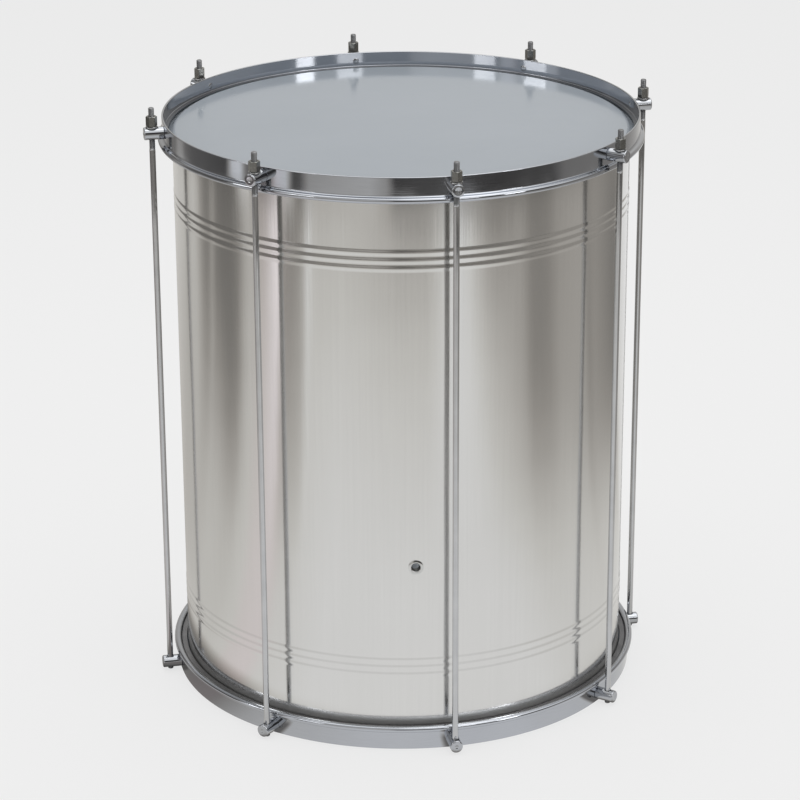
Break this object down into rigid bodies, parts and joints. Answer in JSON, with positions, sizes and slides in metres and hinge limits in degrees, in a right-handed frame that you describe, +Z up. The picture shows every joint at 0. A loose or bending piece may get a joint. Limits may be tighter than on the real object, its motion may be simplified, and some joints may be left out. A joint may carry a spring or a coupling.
{
  "type": "surdo drum",
  "caption": "Large cylindrical bass drum with an aluminium shell, milky film heads, beaded hoops and full-length tension rods with nuts.",
  "frame": {"origin": "on the drum's axis, on the plane of the bottom hoop's plain edge, which stands on the floor", "axes": "+Z up the drum's axis to the playing head; -Y through the rod just right of the vent eyelet, seen from the front; +X to the right"},
  "size_m": [0.517, 0.517, 0.608],
  "materials": {
    "shell": "polished sheet with fine vertical graining",
    "eyelet": "bright plated",
    "film": "milky film, glossy",
    "flesh_hoop": "dark, dull",
    "hoop": "bright plated",
    "lug": "bright plated, turned",
    "rod": "zinc-bright drawn rod, threaded at its ends",
    "washer": "plated, pressed",
    "nut": "dull nickel"
  },
  "bodies": {
    "drum": {"shell": "shell", "vent_eyelet": "eyelet", "bottom_head": "film", "bottom_flesh_hoop": "flesh_hoop", "bottom_hoop": "hoop", "bottom_lug_1": "lug", "bottom_lug_2": "lug", "bottom_lug_3": "lug", "bottom_lug_4": "lug", "bottom_lug_5": "lug", "bottom_lug_6": "lug", "bottom_lug_7": "lug", "bottom_lug_8": "lug", "top_head": "film", "top_flesh_hoop": "flesh_hoop", "tension_rod_1": "rod", "tension_rod_2": "rod", "tension_rod_3": "rod", "tension_rod_4": "rod", "tension_rod_5": "rod", "tension_rod_6": "rod", "tension_rod_7": "rod", "tension_rod_8": "rod"},
    "top_hoop": {"top_hoop": "hoop", "top_lug_1": "lug", "top_lug_2": "lug", "top_lug_3": "lug", "top_lug_4": "lug", "top_lug_5": "lug", "top_lug_6": "lug", "top_lug_7": "lug", "top_lug_8": "lug", "washer_1": "washer", "washer_2": "washer", "washer_3": "washer", "washer_4": "washer", "washer_5": "washer", "washer_6": "washer", "washer_7": "washer", "washer_8": "washer"},
    "nut_1": {"tension_nut_1": "nut"},
    "nut_2": {"tension_nut_2": "nut"},
    "nut_3": {"tension_nut_3": "nut"},
    "nut_4": {"tension_nut_4": "nut"},
    "nut_5": {"tension_nut_5": "nut"},
    "nut_6": {"tension_nut_6": "nut"},
    "nut_7": {"tension_nut_7": "nut"},
    "nut_8": {"tension_nut_8": "nut"}
  },
  "joints": [
    {"name": "top_hoop_lift", "type": "slide", "parent": "drum", "child": "top_hoop", "axis": [0, 0, 1], "range_m": [0, 0.0075]},
    {"name": "nut_1_turn", "type": "hinge", "parent": "top_hoop", "child": "nut_1", "pos_m": [0, -0.25036, 0.5944], "axis": [0, 0, 1], "range_deg": [0, 2710]},
    {"name": "nut_2_turn", "type": "hinge", "parent": "top_hoop", "child": "nut_2", "pos_m": [0.17703, -0.17703, 0.5944], "axis": [0, 0, 1], "range_deg": [0, 2710]},
    {"name": "nut_3_turn", "type": "hinge", "parent": "top_hoop", "child": "nut_3", "pos_m": [0.25036, 0, 0.5944], "axis": [0, 0, 1], "range_deg": [0, 2710]},
    {"name": "nut_4_turn", "type": "hinge", "parent": "top_hoop", "child": "nut_4", "pos_m": [0.17703, 0.17703, 0.5944], "axis": [0, 0, 1], "range_deg": [0, 2710]},
    {"name": "nut_5_turn", "type": "hinge", "parent": "top_hoop", "child": "nut_5", "pos_m": [0, 0.25036, 0.5944], "axis": [0, 0, 1], "range_deg": [0, 2710]},
    {"name": "nut_6_turn", "type": "hinge", "parent": "top_hoop", "child": "nut_6", "pos_m": [-0.17703, 0.17703, 0.5944], "axis": [0, 0, 1], "range_deg": [0, 2710]},
    {"name": "nut_7_turn", "type": "hinge", "parent": "top_hoop", "child": "nut_7", "pos_m": [-0.25036, 0, 0.5944], "axis": [0, 0, 1], "range_deg": [0, 2710]},
    {"name": "nut_8_turn", "type": "hinge", "parent": "top_hoop", "child": "nut_8", "pos_m": [-0.17703, -0.17703, 0.5944], "axis": [0, 0, 1], "range_deg": [0, 2710]}
  ],
  "couplings": [
    {"joint": "nut_1_turn", "follows": "top_hoop_lift", "rad_per_m": 6283.2},
    {"joint": "nut_2_turn", "follows": "top_hoop_lift", "rad_per_m": 6283.2},
    {"joint": "nut_3_turn", "follows": "top_hoop_lift", "rad_per_m": 6283.2},
    {"joint": "nut_4_turn", "follows": "top_hoop_lift", "rad_per_m": 6283.2},
    {"joint": "nut_5_turn", "follows": "top_hoop_lift", "rad_per_m": 6283.2},
    {"joint": "nut_6_turn", "follows": "top_hoop_lift", "rad_per_m": 6283.2},
    {"joint": "nut_7_turn", "follows": "top_hoop_lift", "rad_per_m": 6283.2},
    {"joint": "nut_8_turn", "follows": "top_hoop_lift", "rad_per_m": 6283.2}
  ]
}
